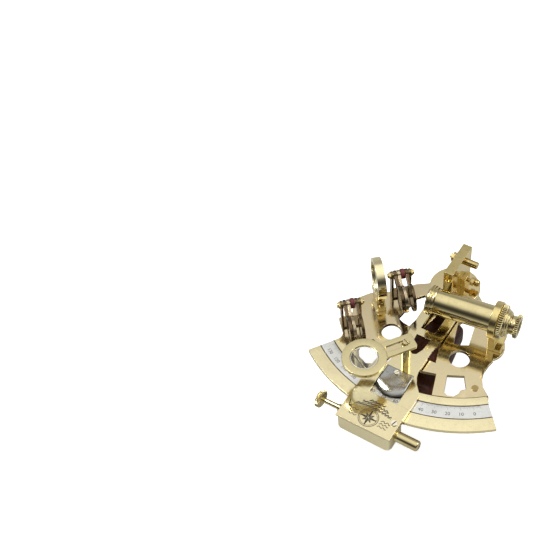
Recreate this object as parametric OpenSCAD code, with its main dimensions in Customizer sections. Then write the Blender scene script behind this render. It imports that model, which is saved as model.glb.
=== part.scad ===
// Small brass sextant with a 4 inch arc, lying on its three feet.
// The index axis is the Z axis, the ground is z = 0, and the arc lies towards -Y.

/* [Frame] */
// Radius of the limb's outer edge
limb_outer_r = 82; // [74:0.5:98]
// Radial width of the limb
limb_w = 18.7; // [16:0.1:21]
// Half of the angle that the limb spans
limb_half_angle = 37.8; // [35:0.1:41]
// Thickness of the limb
limb_t = 2; // [1.6:0.1:2.6]
// Height of the limb's upper face above the ground
limb_top = 28; // [25:0.5:34]
// Thickness of the frame's web
web_t = 2; // [1.6:0.1:2.6]
// Drop of the web's upper face below the limb's
web_drop = 1; // [0.6:0.1:1.4]
// Radius of the boss that holds the axle bush
boss_r = 9; // [8:0.1:11]
// Radius of the round window on each side of the web
window_r = 5.1; // [4:0.1:5.6]

/* [Scale] */
// Distance from the limb's outer edge to the silver strip
strip_margin = 7; // [5:0.1:8]
// Radial width of the silver strip
strip_w = 6.8; // [5:0.1:8]
// Depth of the groove that the strip lies in
strip_t = 0.7; // [0.5:0.05:0.9]

/* [Axle and feet] */
// Radius of the index axle
axle_r = 3; // [2.5:0.1:3.5]
// Outer radius of the bronze bush
bush_r = 4.5; // [4.1:0.1:5.2]
// Radius of a foot's pad
pad_r = 3.2; // [2.6:0.1:4]

/* [Handle] */
// Thickness of the wooden handle
handle_t = 14; // [10:0.5:15]
// Half of the handle's width at its upper end
handle_half_top = 10.2; // [9:0.1:11]
// Half of the handle's width at its lower end
handle_half_low = 13.5; // [12:0.1:14.5]
// Height of the handle's underside above the ground
handle_lift = 4; // [3:0.5:5]

/* [Index arm] */
// Angle of the arm from the middle of the arc
arm_angle = -2.7; // [-5:0.1:5]
// Thickness of the arm
arm_t = 2; // [1.6:0.1:2.4]
// Half of the arm's width over the limb
arm_half_w = 14.5; // [13.5:0.1:16]
// Half of the width of the window for the vernier
vernier_half_w = 7.7; // [6.5:0.1:8.5]
// Radius of the round table under the index mirror
table_r = 12.8; // [12.2:0.1:13.6]
// Height of the table
table_h = 4.6; // [4:0.1:6]

/* [Mirrors] */
// Height of the line of sight above the limb
sight_rise = 17; // [15:0.5:21]
// Length of the index mirror's frame
index_mirror_l = 21.6; // [19:0.2:22]
// Thickness of the index mirror's frame
index_mirror_t = 4.9; // [4:0.1:5.4]
// Height of the index mirror's frame
index_mirror_h = 19.5; // [17:0.1:22]
// Height of the horizon mirror's centre above the limb
horizon_rise = 16; // [14:0.5:20]
// Outer radius of the horizon mirror's ring
horizon_r = 11; // [9.5:0.1:12]
// Thickness of the horizon mirror's ring
horizon_t = 4.4; // [3:0.1:5]
// Direction of the horizon mirror's face
horizon_angle = 38; // [30:0.5:42]

/* [Shades] */
// Direction of the shades' pins
shade_angle = 39; // [34:0.5:42]
// Height of the pins above the limb
shade_pin_rise = 14.5; // [14:0.5:18]
// Radius of a shade's rim
shade_r = 7; // [6:0.1:7.4]
// Distance from the pin to the centre of a shade
shade_reach = 14; // [12:0.1:15]
// Thickness of a shade
shade_t = 1.5; // [1.1:0.1:1.6]
// Slope of the stowed shades below the horizontal
shade_droop = 16; // [12:1:18]

/* [Telescope] */
// Outer radius of the telescope's tube
tube_r = 6.6; // [5.6:0.1:7]
// Length of the tube
tube_l = 31.9; // [26:0.1:34]
// Direction of the telescope
scope_angle = 4.2; // [0:0.1:6]
// Outer radius of the bracket's ring
holder_r = 9.5; // [8.6:0.1:10]
// Thickness of the bracket's ring
holder_t = 3.4; // [2.6:0.1:4]
// Outer radius of the knurled lock ring
lock_r = 8.75; // [8:0.05:9.2]
// Thickness of the walls of the tube and of the draw tube
tube_wall = 0.8; // [0.6:0.05:1]
// Gap between the draw tube and the bore of the tube
draw_gap = 0.85; // [0.6:0.05:1.2]

/* [Magnifier] */
// Outer radius of the magnifier's ring
ring_outer_r = 10.8; // [9.5:0.1:12]
// Radius of the magnifying lens
lens_r = 6.75; // [5.5:0.05:7.5]
// Distance from the post to the centre of the lens
magnifier_reach = 21.8; // [20:0.1:24]
// Angle by which the magnifier is swung aside
magnifier_angle = -36; // [-60:1:0]
// Height of the magnifier's underside above the limb
magnifier_rise = 18.5; // [18:0.5:23]

/* [Tangent box] */
// Width of the box along the tangent screw
box_w = 29; // [26:0.5:33]
// Depth of the box beyond the limb
box_d = 11.8; // [10.5:0.1:14]
// Height of the box with its cover
box_h = 10.5; // [9.5:0.1:11.5]
// Thickness of the engraved cover
cover_t = 1; // [0.8:0.1:1.4]
// Thickness of the walls of the box
box_wall = 2; // [1.6:0.1:2.2]
// Radius of the tangent screw
screw_r = 1.4; // [1.1:0.05:1.5]
// Radius of the tangent screw's knob
knob_r = 4.5; // [3.8:0.1:5]
// Outer radius of the spring barrel
barrel_r = 2.65; // [2.5:0.05:3]

/* [Fits] */
// Radial clearance of a turning shaft
run = 0.05; // [0.03:0.01:0.08]
// Gap between flat faces that move past each other
gap = 0.3; // [0.2:0.05:0.4]

/* [Hidden] */

$fn = 64;
BRASS = "#d8b65a";
PALE_BRASS = "#e6d596";
DARK_BRASS = "#9a7a32";
SILVER = "#d9dad6";
CHROME = "#c9ccce";
BRONZE = "#b07a3a";
MAHOGANY = "#4a1c14";
FIBRE = "#6e1f22";
CLEAR = "#dfeff2";

// Plan of the frame: the outlines below are drawn for an inner limb radius of 63.3.
drawn_inner_r = 63.3;
limb_inner_r = limb_outer_r - limb_w;
plan_k = limb_inner_r / drawn_inner_r;
web_top = limb_top - web_drop;
web_bottom = web_top - web_t;
boss_bottom = web_bottom - 6;
bush_top = limb_top + 0.2;

// Index arm
arm_bottom = limb_top + 0.5;
arm_top = arm_bottom + arm_t;
table_top = arm_top + table_h;
cover_top = arm_top + cover_t;
box_bottom = cover_top - box_h;
box_y = -(limb_outer_r + 1);
box_end = box_y - box_d;
cover_start = -(limb_outer_r - strip_margin + 0.4);
vernier_outer = limb_outer_r - strip_margin - strip_w + 0.4;
vernier_inner = vernier_outer - 6.6;

// Telescope
sight_h = limb_top + sight_rise;
scope_at = [27.6 * plan_k, -18.5 * plan_k];
tube_start = holder_t - tube_l;
cell_l = 4.3;
lock_t = 2.8;
collar_t = 2.4;
draw_r = tube_r - tube_wall - draw_gap;
draw_bore = draw_r + run;

// Horizon mirror and shades
horizon_h = limb_top + horizon_rise;
shade_pin_h = limb_top + shade_pin_rise;
horizon_at = [-33.6 * plan_k, -19.3 * plan_k];
base_t = 3;
base_l = 16;
pin_r = 1;
cheek_x = 4;
cheek_t = 1.2;
index_shades_at = [-25.5 * plan_k, -10.6 * plan_k];
horizon_shades_at = [-39.4 * plan_k, -39.1 * plan_k];
shade_x = [-3.7, -1.9, 2.2];

// Magnifier
magnifier_h = limb_top + magnifier_rise;
post_y = -52 * plan_k;
post_r = 2.25;
slot_half = 1.7;
post_pin_r = slot_half - run;
magnifier_t = 1.6;

// Tangent box
shaft_y = box_y - 5;
shaft_z = limb_top - 1.6;
block_w = 10;
travel = 1.6;

function at(points) = [for (p = points) p * plan_k];
function mirrored(points) = [for (i = [len(points) - 1:-1:0]) [-points[i][0], points[i][1]]];
function arc(r, from, to, steps) = [for (i = [0:steps]) let (a = from + (to - from) * i / steps) [r * cos(a), r * sin(a)]];

module sector(r_out, r_in, half, t) {
    outline = concat(arc(r_out * 1.2, -90 - half, -90 + half, 8), [[0, 0]]);
    intersection() {
        difference() {
            cylinder(h = t, r = r_out);
            translate([0, 0, -1]) cylinder(h = t + 2, r = r_in);
        }
        translate([0, 0, -1]) linear_extrude(t + 2) polygon(outline);
    }
}
module prism(points, z, t) { translate([0, 0, z]) linear_extrude(t) polygon(points); }
module post(x, y, z, h, r) { translate([x, y, z]) cylinder(h = h, r = r); }
// A cylinder along X from x = a to x = b.
module bar_x(a, b, y, z, r) { translate([a, y, z]) rotate([0, 90, 0]) cylinder(h = b - a, r = r); }
module hex_x(a, b, y, z, r) { translate([a, y, z]) rotate([0, 90, 0]) cylinder(h = b - a, r = r, $fn = 6); }
// A screw head with its slot, on a face at height z.
module slotted_head(x, y, z, r, h, turn) {
    translate([x, y, z]) rotate([0, 0, turn]) difference() {
        cylinder(h = h, r = r, $fn = 32);
        translate([-r - 1, -r * 0.14, h * 0.45]) cube([2 * r + 2, r * 0.28, h]);
    }
}
module on_arm() { rotate([0, 0, arm_angle]) children(); }

// ---- Frame -------------------------------------------------------------
side_right = [[0, 8], [9, 8], [15.5, 2], [21, -1.5], [29, -11.5], [33.5, -29], [32.7, -32], [32.2, -37],
    [33, -41], [35, -45], [39.8, -49.3], [41, -52], [0, -66]];
side_left = [[0, 8], [9, 8], [15.5, 2], [21, -1.5], [30, -11.5], [36, -15.5], [39.3, -17], [45.5, -25],
    [42, -33], [46.5, -39.5], [40, -47], [39.8, -49.3], [41, -52], [0, -66]];
slot_side = [[7.8, -11], [9.5, -7.5], [13.5, -6.2], [16.5, -9.5], [19.3, -25.6], [16, -27.2], [12.2, -28], [8.8, -14.5]];
slot_centre = [[-1.9, -13], [1.9, -13], [9.2, -42.7], [-9.2, -42.7]];
slot_low = [[-12.2, -48.5], [-5, -50.2], [0, -50.8], [5, -50.2], [12.2, -48.5], [15.6, -61.2], [8, -62.6],
    [0, -63.1], [-8, -62.6], [-15.6, -61.2]];
slot_corner = [[17.2, -46.8], [24.7, -43.5], [28.5, -50], [26.5, -52], [26.5, -54], [25, -56.5], [22, -57.5], [20, -56.5]];
foot_at = [32.2, -47.8] * plan_k;
ear_at = [27, -21.5] * plan_k;
ear_r = 9;

module frame() {
    cut_z = web_bottom - 1;
    cut_t = web_t + 2;
    color(BRASS) difference() {
        union() {
            difference() {
                union() {
                    prism(at(side_right), web_bottom, web_t);
                    prism(at(mirrored(side_left)), web_bottom, web_t);
                    post(ear_at[0], ear_at[1], web_bottom, web_t, ear_r);
                }
                prism(at(slot_side), cut_z, cut_t);
                prism(at(mirrored(slot_side)), cut_z, cut_t);
                prism(at(slot_centre), cut_z, cut_t);
                prism(at(slot_low), cut_z, cut_t);
                prism(at(slot_corner), cut_z, cut_t);
                prism(at(mirrored(slot_corner)), cut_z, cut_t);
                for (s = [-1, 1]) post(s * 18.5 * plan_k, -35.2 * plan_k, cut_z, cut_t, window_r);
            }
            translate([0, 0, limb_top - limb_t]) sector(limb_outer_r, limb_inner_r, limb_half_angle, limb_t);
            post(0, 0, boss_bottom, bush_top - boss_bottom, boss_r);
        }
        translate([0, 0, limb_top - strip_t])
            sector(limb_outer_r - strip_margin, limb_outer_r - strip_margin - strip_w, limb_half_angle + 2, 2);
        post(0, 0, boss_bottom - 1, 12, bush_r);
    }
}
module arc_scale() {
    color(SILVER) translate([0, 0, limb_top - strip_t])
        sector(limb_outer_r - strip_margin, limb_outer_r - strip_margin - strip_w, limb_half_angle, strip_t);
}
module axle_bush() {
    color(BRONZE) difference() {
        post(0, 0, boss_bottom, bush_top - boss_bottom, bush_r);
        post(0, 0, boss_bottom - 1, 12, axle_r + run);
    }
}
module centre_foot() {
    cup_r = boss_r - 2;
    color(BRASS) difference() {
        rotate_extrude() polygon([[0, 0], [4.2, 0], [4.6, 1.6], [3, 3], [2.8, 7.5], [cup_r, 9.5], [cup_r, boss_bottom],
            [0, boss_bottom]]);
        post(0, 0, 11.5, boss_bottom - 10.5, cup_r - 1.4);
    }
}
module front_feet() {
    color(BRASS) for (s = [-1, 1]) translate([s * foot_at[0], foot_at[1], 0])
        rotate_extrude() polygon([[0, 0], [pad_r - 0.4, 0], [pad_r, 0.5], [pad_r, 1.6], [2, 3], [1.7, 10],
            [1.9, web_bottom - 5], [3.4, web_bottom - 3], [3.4, web_bottom], [0, web_bottom]]);
}
module frame_screws() {
    color(DARK_BRASS) {
        for (s = [-1, 1]) post(s * foot_at[0], foot_at[1], web_top, 0.4, 1.7);
        for (y = [-3, 3]) translate([scope_at[0] + 3.4, scope_at[1] + y, web_bottom])
            mirror([0, 0, 1]) slotted_head(0, 0, 0, 1.6, 0.9, 25 * y);
    }
}

// ---- Handle ------------------------------------------------------------
handle_y = [-8, -54];
handle_top = handle_lift + handle_t;
bracket_y = [-14, -48];
bracket_l = 4.3;
module handle() {
    c = 3;
    half = [handle_half_top, handle_half_low] * plan_k;
    y = handle_y * plan_k;
    outline = [[half[0] - c, y[0]], [half[0], y[0] - c], [half[1], y[1] + c], [half[1] - c, y[1]]];
    color(MAHOGANY) difference() {
        prism(concat(outline, mirrored(outline)), handle_lift, handle_t);
        for (b = bracket_y) post(0, b * plan_k + bracket_l / 2, handle_lift - 1, 2.6, 2.2);
    }
}
module handle_brackets() {
    color(BRASS) for (b = bracket_y) translate([-6, b * plan_k, handle_top]) cube([12, bracket_l, web_bottom - handle_top]);
}
module handle_screws() {
    color(BRASS) for (b = bracket_y)
        translate([0, b * plan_k + bracket_l / 2, handle_lift + 1.6]) mirror([0, 0, 1]) slotted_head(0, 0, 0, 2.2, 1.4, 20);
}

// ---- Telescope ---------------------------------------------------------
// In the telescope's own axes the line of sight is X, and the bracket's ring starts at x = 0.
module at_scope() { translate([scope_at[0], scope_at[1], sight_h]) rotate([0, 0, scope_angle]) children(); }
module telescope_bracket() {
    foot_half = 5.5;
    drop = sight_h - web_top;
    color(BRASS) at_scope() difference() {
        union() {
            bar_x(0, holder_t, 0, 0, holder_r);
            translate([0, -foot_half, -drop]) cube([holder_t, 2 * foot_half, drop]);
            translate([0, -foot_half, -drop]) cube([6.8, 2 * foot_half, 2]);
        }
        bar_x(-1, holder_t + 1, 0, 0, tube_r);
    }
}
// A tube along the line of sight from x = a to x = b.
module sight_tube(a, b, r_out, r_in) {
    at_scope() difference() {
        bar_x(a, b, 0, 0, r_out);
        bar_x(a - 1, b + 1, 0, 0, r_in);
    }
}
module telescope_tube() { color(BRASS) sight_tube(tube_start, holder_t, tube_r, tube_r - tube_wall); }
module objective_cell() {
    color(BRASS) at_scope() difference() {
        union() {
            bar_x(tube_start - cell_l, tube_start - cell_l / 2, 0, 0, tube_r + 1);
            bar_x(tube_start - cell_l, tube_start, 0, 0, tube_r + 0.5);
        }
        bar_x(tube_start - cell_l - 1, tube_start + 1, 0, 0, tube_r - 1.1);
    }
}
module objective_lens() {
    color(CLEAR) at_scope() bar_x(tube_start - cell_l + 0.9, tube_start - cell_l + 2.9, 0, 0, tube_r - 1.1);
}
module lock_ring() { color(BRASS) sight_tube(holder_t, holder_t + lock_t, lock_r, draw_bore); }
collar_end = holder_t + lock_t + collar_t;
module eyepiece_collar() { color(BRASS) sight_tube(holder_t + lock_t, collar_end, lock_r - 1.75, draw_bore); }
cap_start = collar_end + 0.5;
cap_l = 4.2;
cap_rim = 2;
cap_bore = 2.6;
module draw_tube() { color(BRASS) sight_tube(holder_t - 16, cap_start, draw_r, draw_r - tube_wall); }
module eyepiece_cap() {
    color(BRASS) at_scope() difference() {
        union() {
            bar_x(cap_start, cap_start + cap_l, 0, 0, draw_r - 0.2);
            bar_x(cap_start + cap_l - cap_rim, cap_start + cap_l, 0, 0, draw_r + 1.05);
        }
        bar_x(cap_start - 1, cap_start + cap_l + 1, 0, 0, cap_bore);
    }
}
module eye_lens() { color(CLEAR) at_scope() bar_x(cap_start + 1.6, cap_start + 2.8, 0, 0, cap_bore); }

// ---- Horizon mirror ----------------------------------------------------
// Its own X axis is the mirror's normal, and its own Y runs along the mirror.
module at_horizon() { translate([horizon_at[0], horizon_at[1], 0]) rotate([0, 0, horizon_angle]) children(); }
stem_w = 8;
bar_top = web_top + base_t;
module horizon_base() {
    color(BRASS) at_horizon() translate([-horizon_t / 2, -base_l / 2, web_top]) cube([horizon_t, base_l, base_t]);
}
module horizon_ring() {
    color(PALE_BRASS) at_horizon() difference() {
        union() {
            bar_x(-horizon_t / 2, horizon_t / 2, 0, horizon_h, horizon_r);
            translate([-horizon_t / 2, -stem_w / 2, bar_top]) cube([horizon_t, stem_w, horizon_h - bar_top]);
        }
        bar_x(-horizon_t / 2 + 1, horizon_t / 2 + 1, 0, horizon_h, horizon_r - 1);
        bar_x(-horizon_t, 0, 0, horizon_h, horizon_r - 2);
    }
}
module horizon_glass() {
    color(CLEAR) at_horizon() bar_x(-horizon_t / 2 + 1, horizon_t / 2 - 0.6, 0, horizon_h, horizon_r - 1);
}
module horizon_screws() {
    color(DARK_BRASS) at_horizon()
        for (y = [-base_l / 2 + 2, base_l / 2 - 2]) slotted_head(0, y, bar_top, 1.4, 0.9, 9 * y);
}

// ---- Shades ------------------------------------------------------------
// In a group's own axes the pin lies along X at the origin, and the stowed shades reach towards -Y.
module at_shades(place) {
    translate([place[0], place[1], shade_pin_h]) rotate([0, 0, shade_angle]) children();
}
module shade_bracket() {
    base_z = web_top - shade_pin_h;
    difference() {
        union() {
            translate([-cheek_x - cheek_t, -3.2, base_z]) cube([2 * (cheek_x + cheek_t), 6.4, 1.2]);
            for (x = [-cheek_x - cheek_t, cheek_x]) {
                translate([x, -2.2, base_z]) cube([cheek_t, 4.4, -base_z]);
                bar_x(x, x + cheek_t, 0, 0, 2.2);
            }
        }
        bar_x(-cheek_x - 3, cheek_x + 3, 0, 0, pin_r);
    }
}
module shade_brackets() {
    color(BRASS) for (place = [index_shades_at, horizon_shades_at]) at_shades(place) shade_bracket();
}
module shade_pin() {
    nut = cheek_x + cheek_t;
    bar_x(-nut - 1, nut + 1, 0, 0, pin_r);
    for (s = [0, 1]) mirror([s, 0, 0]) {
        hex_x(nut, nut + 0.9, 0, 0, 1.9);
        bar_x(nut + 0.9, nut + 1.7, 0, 0, 1.3);
    }
}
module shade_pins() {
    color(BRASS) for (place = [index_shades_at, horizon_shades_at]) at_shades(place) shade_pin();
}
module shade_spacers() {
    color(FIBRE) for (place = [index_shades_at, horizon_shades_at]) at_shades(place) difference() {
        bar_x(shade_x[1] + shade_t + 0.3, shade_x[2] - 0.3, 0, 0, 2.7);
        bar_x(-4, 4, 0, 0, pin_r);
    }
}
module droop() { rotate([shade_droop, 0, 0]) children(); }
module shade(place, i) {
    x = shade_x[i];
    color(DARK_BRASS) at_shades(place) droop() difference() {
        union() {
            bar_x(x, x + shade_t, -shade_reach, 0, shade_r);
            translate([x, -shade_reach + shade_r - 2, -1.9]) cube([shade_t, shade_reach - shade_r + 2, 3.8]);
            bar_x(x, x + shade_t, 0, 0, 2.4);
        }
        bar_x(x - 1, x + shade_t + 1, 0, 0, pin_r + run);
        bar_x(x - 1, x + shade_t + 1, -shade_reach, 0, shade_r - 1.2);
    }
}
module shade_glass(place, i, tint) {
    color(tint) at_shades(place) droop()
        bar_x(shade_x[i] + 0.2, shade_x[i] + shade_t - 0.2, -shade_reach, 0, shade_r - 1.2);
}
module index_shade_1() { shade(index_shades_at, 0); }
module index_shade_2() { shade(index_shades_at, 1); }
module index_shade_3() { shade(index_shades_at, 2); }
module index_shade_glass_1() { shade_glass(index_shades_at, 0, "#5a1a1a"); }
module index_shade_glass_2() { shade_glass(index_shades_at, 1, "#3c4a32"); }
module index_shade_glass_3() { shade_glass(index_shades_at, 2, "#4a3a2a"); }
module horizon_shade_1() { shade(horizon_shades_at, 0); }
module horizon_shade_2() { shade(horizon_shades_at, 1); }
module horizon_shade_3() { shade(horizon_shades_at, 2); }
module horizon_shade_glass_1() { shade_glass(horizon_shades_at, 0, "#5a1a1a"); }
module horizon_shade_glass_2() { shade_glass(horizon_shades_at, 1, "#3c4a32"); }
module horizon_shade_glass_3() { shade_glass(horizon_shades_at, 2, "#4a3a2a"); }

// ---- Index arm ---------------------------------------------------------
neck = [[8.8, -10], [8.6, -30], [7.7, -40], [7.6, -53], [8.5, -56.5], [10.3, -60], [13.2, -63.4]];
arm_window_high = [[-4.1, -15], [4.1, -15], [3.9, -29], [-3.9, -29]];
arm_window_low = [[-3.8, -33.4], [3.8, -33.4], [3.2, -40.5], [1.6, -44.4], [0, -45.2], [-1.6, -44.4], [-3.2, -40.5]];
// Half of the width of the neck's root, which runs in under the round hub.
root_half = 6;
module index_arm() {
    root = [[root_half, 0], [root_half, neck[0][1] * plan_k]];
    edge = concat(root, at(neck), [[arm_half_w, -(limb_inner_r + 2.2)], [arm_half_w, box_y]]);
    window_top = 0.05 - sqrt(pow(vernier_inner, 2) - pow(vernier_half_w, 2));
    color(PALE_BRASS) on_arm() difference() {
        union() {
            prism(concat(edge, mirrored(edge)), arm_bottom, arm_t);
            post(0, 0, arm_bottom, arm_t, table_r - 1.1);
        }
        prism(at(arm_window_high), arm_bottom - 1, arm_t + 2);
        prism(at(arm_window_low), arm_bottom - 1, arm_t + 2);
        translate([-vernier_half_w, cover_start, arm_bottom - 1])
            cube([2 * vernier_half_w, window_top - cover_start, arm_t + 2]);
        post(0, 0, arm_bottom - 1, arm_t + 2, axle_r);
    }
}
module axle() { color(CHROME) post(0, 0, boss_bottom - 5.5, arm_top + 2 - boss_bottom + 5.5, axle_r); }
module axle_nut() {
    z = boss_bottom - gap;
    color(BRASS) difference() {
        union() {
            post(0, 0, z - 1, 1, 4.6);
            translate([0, 0, z - 4]) cylinder(h = 2.9, r = 4.6, $fn = 6);
        }
        post(0, 0, z - 6, 10, axle_r);
    }
}
module mirror_table() {
    lip = table_h - 2.3;
    color(BRASS) difference() {
        union() {
            post(0, 0, arm_top, lip, table_r - 1.1);
            post(0, 0, table_top - 2.4, 2.4, table_r);
        }
        post(0, 0, arm_top - 1, 3, axle_r);
    }
}

// ---- Index mirror ------------------------------------------------------
mirror_x = -2.3;
mirror_y = 1.4 - index_mirror_l / 2;
mirror_lip = 1.7;
glass_t = 2;
mirror_top = table_top + index_mirror_h;
module index_mirror_frame() {
    color(PALE_BRASS) on_arm() difference() {
        translate([mirror_x, mirror_y, table_top]) cube([index_mirror_t, index_mirror_l, index_mirror_h]);
        translate([mirror_x - 1, mirror_y + mirror_lip, table_top + 2])
            cube([glass_t + 1, index_mirror_l - 2 * mirror_lip, index_mirror_h - 2 - mirror_lip]);
    }
}
module index_mirror_glass() {
    color(SILVER) on_arm() translate([mirror_x, mirror_y + mirror_lip, table_top + 2])
        cube([glass_t, index_mirror_l - 2 * mirror_lip, index_mirror_h - 2 - mirror_lip]);
}
back_x = mirror_x + index_mirror_t;
clamp_y = 3.5;
clamp_z = table_top + 4.5;
adjuster_y = 5.5;
adjuster_z = table_top + 15;
module mirror_bracket() {
    color(BRASS) on_arm() difference() {
        translate([back_x, clamp_y - 2.5, table_top]) cube([2.2, 5, 6.2]);
        bar_x(back_x - 1, back_x + 4, clamp_y, clamp_z, 1.1);
    }
}
module mirror_bolts() {
    color(BRASS) on_arm() {
        bar_x(back_x, back_x + 7, clamp_y, clamp_z, 1.1);
        hex_x(back_x + 4.4, back_x + 6.4, clamp_y, clamp_z, 2.2);
        translate([back_x + 7.6, clamp_y, clamp_z]) sphere(r = 1.9);
        bar_x(back_x, back_x + 6.4, adjuster_y, adjuster_z, 1.9);
        hex_x(mirror_x - 2.4, mirror_x, adjuster_y, adjuster_z, 2.6);
        bar_x(mirror_x - 3.4, mirror_x - 2.4, adjuster_y, adjuster_z, 1.3);
    }
}

// ---- Vernier and reflector ---------------------------------------------
module vernier() {
    z = limb_top + 0.15;
    color(SILVER) on_arm() intersection() {
        sector(vernier_outer, vernier_inner, 30, 100);
        translate([-vernier_half_w, -limb_outer_r, z]) cube([2 * vernier_half_w, limb_outer_r, 1.3]);
    }
}
flange_y = -57 * plan_k;
flange_d = 4.6;
flange_half_w = 7.2;
flap_l = 11;
flap_t = 0.5;
module reflector() {
    flap = concat([[vernier_half_w, 0]],
        [for (i = [0:8]) let (u = 1 - i / 4) [u * vernier_half_w, -flap_l + 3.4 * u * u]], [[-vernier_half_w, 0]]);
    color(CHROME) on_arm() {
        translate([-flange_half_w, flange_y - flange_d, arm_top]) cube([2 * flange_half_w, flange_d, flap_t]);
        translate([0, flange_y - flange_d, arm_top]) rotate([-12, 0, 0]) linear_extrude(flap_t) polygon(flap);
    }
}
module arm_screws() {
    color(BRASS) on_arm() {
        slotted_head(-1, flange_y - flange_d / 2, arm_top + flap_t, 1.3, 0.6, 70);
        for (x = [-arm_half_w + 2.6, arm_half_w - 2.6]) slotted_head(x, box_y - 2.4, cover_top, 1.6, 0.5, 6 * x);
    }
}

// ---- Magnifier ---------------------------------------------------------
module magnifier_post() {
    color(BRASS) on_arm() {
        post(0, post_y, arm_top, magnifier_h - gap - arm_top, post_r);
        post(0, post_y, arm_top, magnifier_h + magnifier_t + gap - arm_top, post_pin_r);
    }
}
module on_magnifier() {
    on_arm() translate([0, post_y, magnifier_h]) rotate([0, 0, magnifier_angle]) children();
}
module magnifier_arm() {
    half = 4.5;
    tail = 4.2;
    slot_end = -magnifier_reach + ring_outer_r + 1.5;
    color(PALE_BRASS) on_magnifier() difference() {
        union() {
            prism([[-half, tail - 1], [-half + 1, tail], [half - 1, tail], [half, tail - 1],
                [half, slot_end - 3.5], [-half, slot_end - 3.5]], 0, magnifier_t);
            post(0, -magnifier_reach, 0, magnifier_t + 0.5, ring_outer_r);
        }
        post(0, -magnifier_reach, -1, 6, lens_r);
        for (y = [slot_end, 0]) post(0, y, -1, 6, slot_half);
        translate([-slot_half, slot_end, -1]) cube([2 * slot_half, -slot_end, 6]);
    }
}
module magnifier_lens() { color(CLEAR) on_magnifier() post(0, -magnifier_reach, 0.3, 1.4, lens_r); }
module magnifier_screw() {
    color(BRASS) on_magnifier() slotted_head(0, 0, magnifier_t + gap, 2, 0.6, 15);
}

// ---- Tangent box -------------------------------------------------------
bore_r = screw_r + run;
module box_body(grow, z, t) {
    half = box_w / 2 - grow;
    c = 2.4 - grow / 2;
    outline = [[half, box_y - grow], [half, box_end + c + grow], [half - 0.3 * c, box_end + 0.3 * c + grow],
        [half - c, box_end + grow]];
    prism(concat(outline, mirrored(outline)), z, t);
}
module tangent_box() {
    slot_half = block_w / 2 + travel + gap;
    color(PALE_BRASS) on_arm() difference() {
        box_body(0, box_bottom, arm_top - box_bottom);
        box_body(box_wall, box_bottom + 1.6, 20);
        bar_x(-box_w, 0, shaft_y, shaft_z, bore_r);
        bar_x(0, box_w, shaft_y, shaft_z, 1.3);
        translate([-slot_half, box_y - box_wall - 1, box_bottom - 1])
            cube([2 * slot_half, box_wall + 2, limb_top - limb_t - box_bottom + 1]);
    }
}
module box_cover() {
    color(PALE_BRASS) on_arm()
        translate([-box_w / 2, box_end, arm_top]) cube([box_w, cover_start - box_end, cover_t]);
}
module spring_barrel() {
    a = box_w / 2;
    color(BRASS) on_arm() difference() {
        bar_x(a, a + 12, shaft_y, shaft_z, barrel_r);
        bar_x(a - 1, a + 11, shaft_y, shaft_z, 1.9);
    }
}
module return_spring() {
    a = box_w / 2 + 2.2;
    turns = 4;
    wire = 0.35;
    pitch = (11 - 2.2 - 2 * wire) / (turns - 1);
    color(CHROME) on_arm() for (i = [0:turns - 1]) translate([a + wire + i * pitch, shaft_y, shaft_z])
        rotate([0, 90, 0]) rotate_extrude() translate([1.9 - wire, 0]) circle(r = wire, $fn = 16);
}
module tangent_screw() {
    a = -box_w / 2;
    color(BRASS) on_arm() {
        bar_x(a - 10.8, -1.5, shaft_y, shaft_z, screw_r);
        bar_x(a - 2.6, a - gap, shaft_y, shaft_z, 1.95);
    }
}
module tangent_knob() {
    a = -box_w / 2 - 13.8;
    color(BRASS) on_arm() {
        bar_x(a, a + 2.9, shaft_y, shaft_z, knob_r);
        bar_x(a + 2.9, a + 3, shaft_y, shaft_z, 2.2);
    }
}
module clamp_block() {
    jaw_z = box_bottom + 0.3;
    jaw_t = 2.2;
    jaw_end = -(limb_outer_r - 9);
    color(BRASS) on_arm() difference() {
        union() {
            translate([-block_w / 2, box_end + box_wall + gap, box_bottom + 1.6 + gap])
                cube([block_w, box_y - box_wall - gap - box_end - box_wall - gap, 6]);
            translate([-block_w / 2, box_y - box_wall - 1.5, box_bottom + 1.6 + gap])
                cube([block_w, box_wall + 2.5, 1.2]);
            translate([-block_w / 2, box_y + 0.3, jaw_z]) cube([block_w, jaw_end - box_y, jaw_t]);
            bar_x(block_w / 2, box_w / 2 + 0.4, shaft_y, shaft_z, 1.25);
        }
        bar_x(-block_w, 0.6, shaft_y, shaft_z, bore_r);
        post(0, box_y + 5, jaw_z - 1, 6, bore_r);
    }
}
module clamp_screw() {
    z = box_bottom + 0.3;
    color(BRASS) on_arm() translate([0, box_y + 5, z]) {
        translate([0, 0, -3]) cylinder(h = limb_top - limb_t - gap - z + 3, r = screw_r);
        translate([0, 0, -6.5]) cylinder(h = 4, r = knob_r);
    }
}

frame();
arc_scale();
axle_bush();
centre_foot();
front_feet();
frame_screws();
handle();
handle_brackets();
handle_screws();
telescope_bracket();
telescope_tube();
objective_cell();
objective_lens();
lock_ring();
eyepiece_collar();
draw_tube();
eyepiece_cap();
eye_lens();
horizon_base();
horizon_ring();
horizon_glass();
horizon_screws();
shade_brackets();
shade_pins();
shade_spacers();
index_shade_1();
index_shade_2();
index_shade_3();
index_shade_glass_1();
index_shade_glass_2();
index_shade_glass_3();
horizon_shade_1();
horizon_shade_2();
horizon_shade_3();
horizon_shade_glass_1();
horizon_shade_glass_2();
horizon_shade_glass_3();
index_arm();
axle();
axle_nut();
mirror_table();
index_mirror_frame();
index_mirror_glass();
mirror_bracket();
mirror_bolts();
vernier();
reflector();
arm_screws();
magnifier_post();
magnifier_arm();
magnifier_lens();
magnifier_screw();
tangent_box();
box_cover();
spring_barrel();
return_spring();
tangent_screw();
tangent_knob();
clamp_block();
clamp_screw();
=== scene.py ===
import math

import bmesh
import bpy
import numpy as np
from mathutils import Matrix, Vector


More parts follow.
